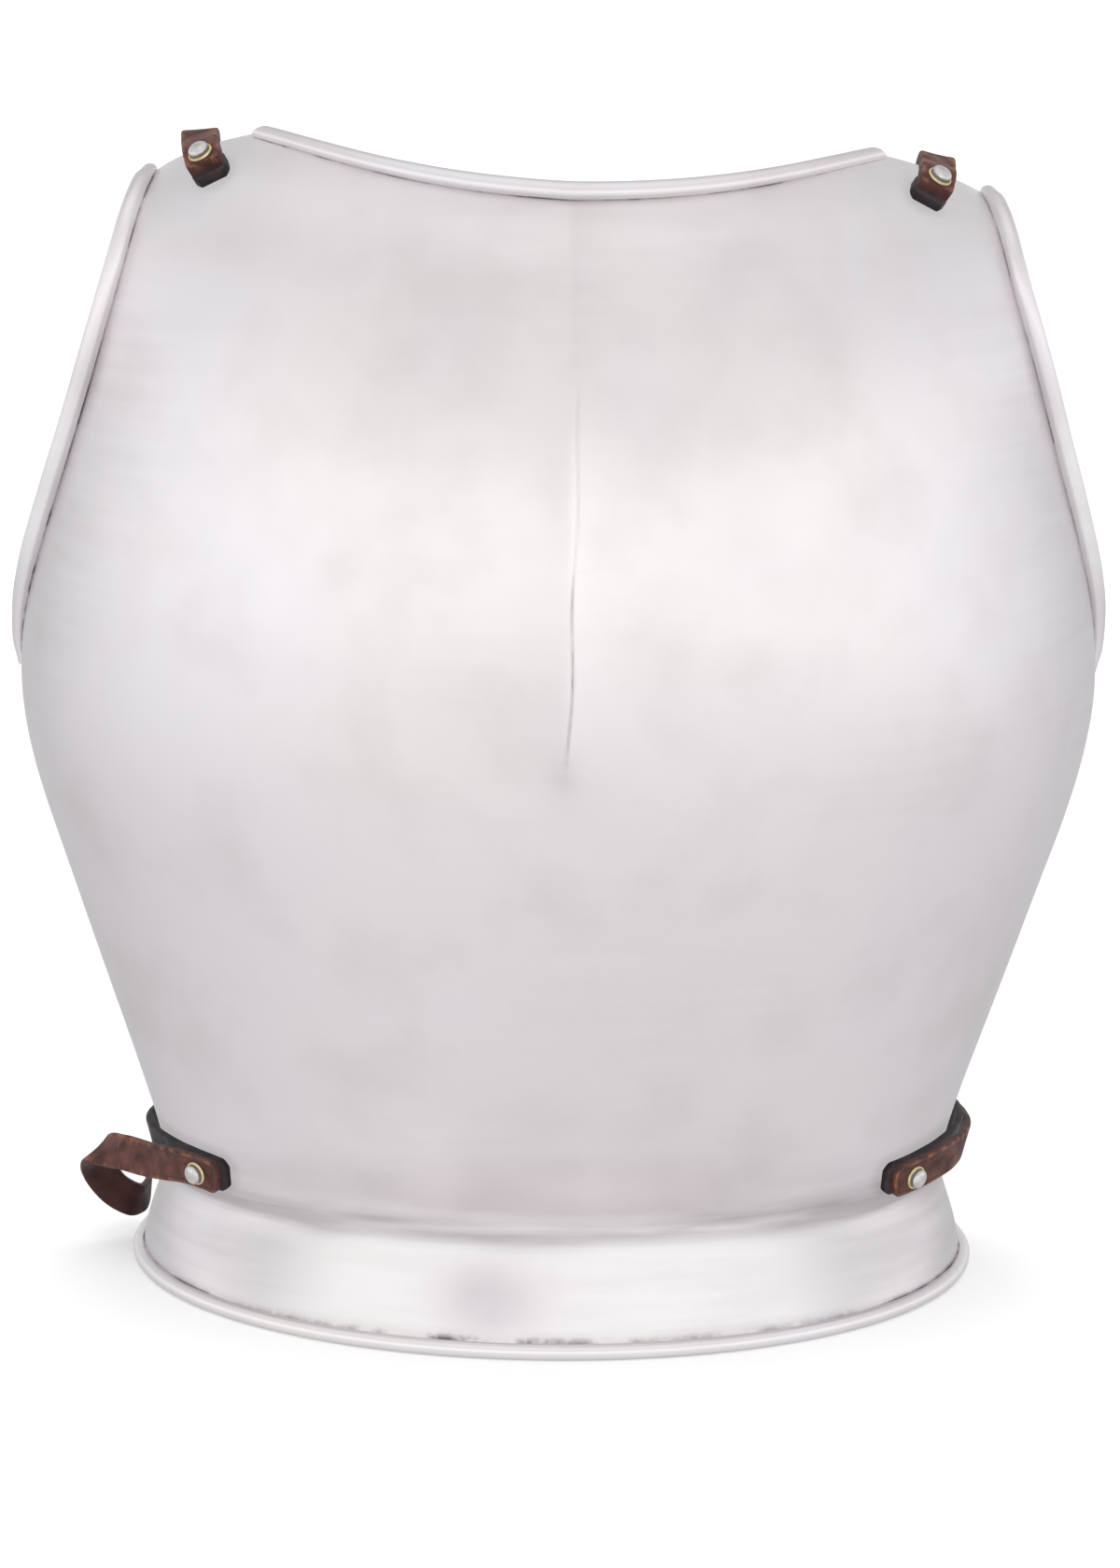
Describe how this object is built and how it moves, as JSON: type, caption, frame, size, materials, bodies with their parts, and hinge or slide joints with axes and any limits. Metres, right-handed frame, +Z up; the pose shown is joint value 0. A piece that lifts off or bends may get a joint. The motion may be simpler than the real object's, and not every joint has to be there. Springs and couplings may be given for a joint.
{
  "type": "breastplate",
  "caption": "Steel cuirass breastplate with a medial keel, rolled neck and arm edges, a pinched waist with a flared flange, and riveted leather strap ends.",
  "frame": {"origin": "Middle of the bounding box's footprint, at the level of the surface that the flange's rim stands on.", "axes": "+X to the wearer's left, which is the right of the picture; +Y from the chest towards the wearer's back; +Z up towards the neck."},
  "size_m": [0.3886, 0.1726, 0.4111],
  "materials": {
    "steel": "satin polished",
    "leather": "waxed, worn along the edges",
    "dark_leather": "dull",
    "rivet_steel": "dulled",
    "brass": "pale, slightly tarnished"
  },
  "bodies": {
    "root": {"breastplate": "steel", "shoulder_strap_left": "leather", "shoulder_strap_right": "leather", "shoulder_backing_left": "dark_leather", "shoulder_backing_right": "dark_leather", "waist_strap_left": "leather", "waist_strap_right": "leather", "waist_backing_left": "dark_leather", "waist_backing_right": "dark_leather", "rivet_shoulder_left": "rivet_steel", "rivet_shoulder_right": "rivet_steel", "rivet_waist_left": "rivet_steel", "rivet_waist_right": "rivet_steel", "washer_shoulder_left": "brass", "washer_shoulder_right": "brass", "washer_waist_left": "brass", "washer_waist_right": "brass"}
  },
  "joints": []
}
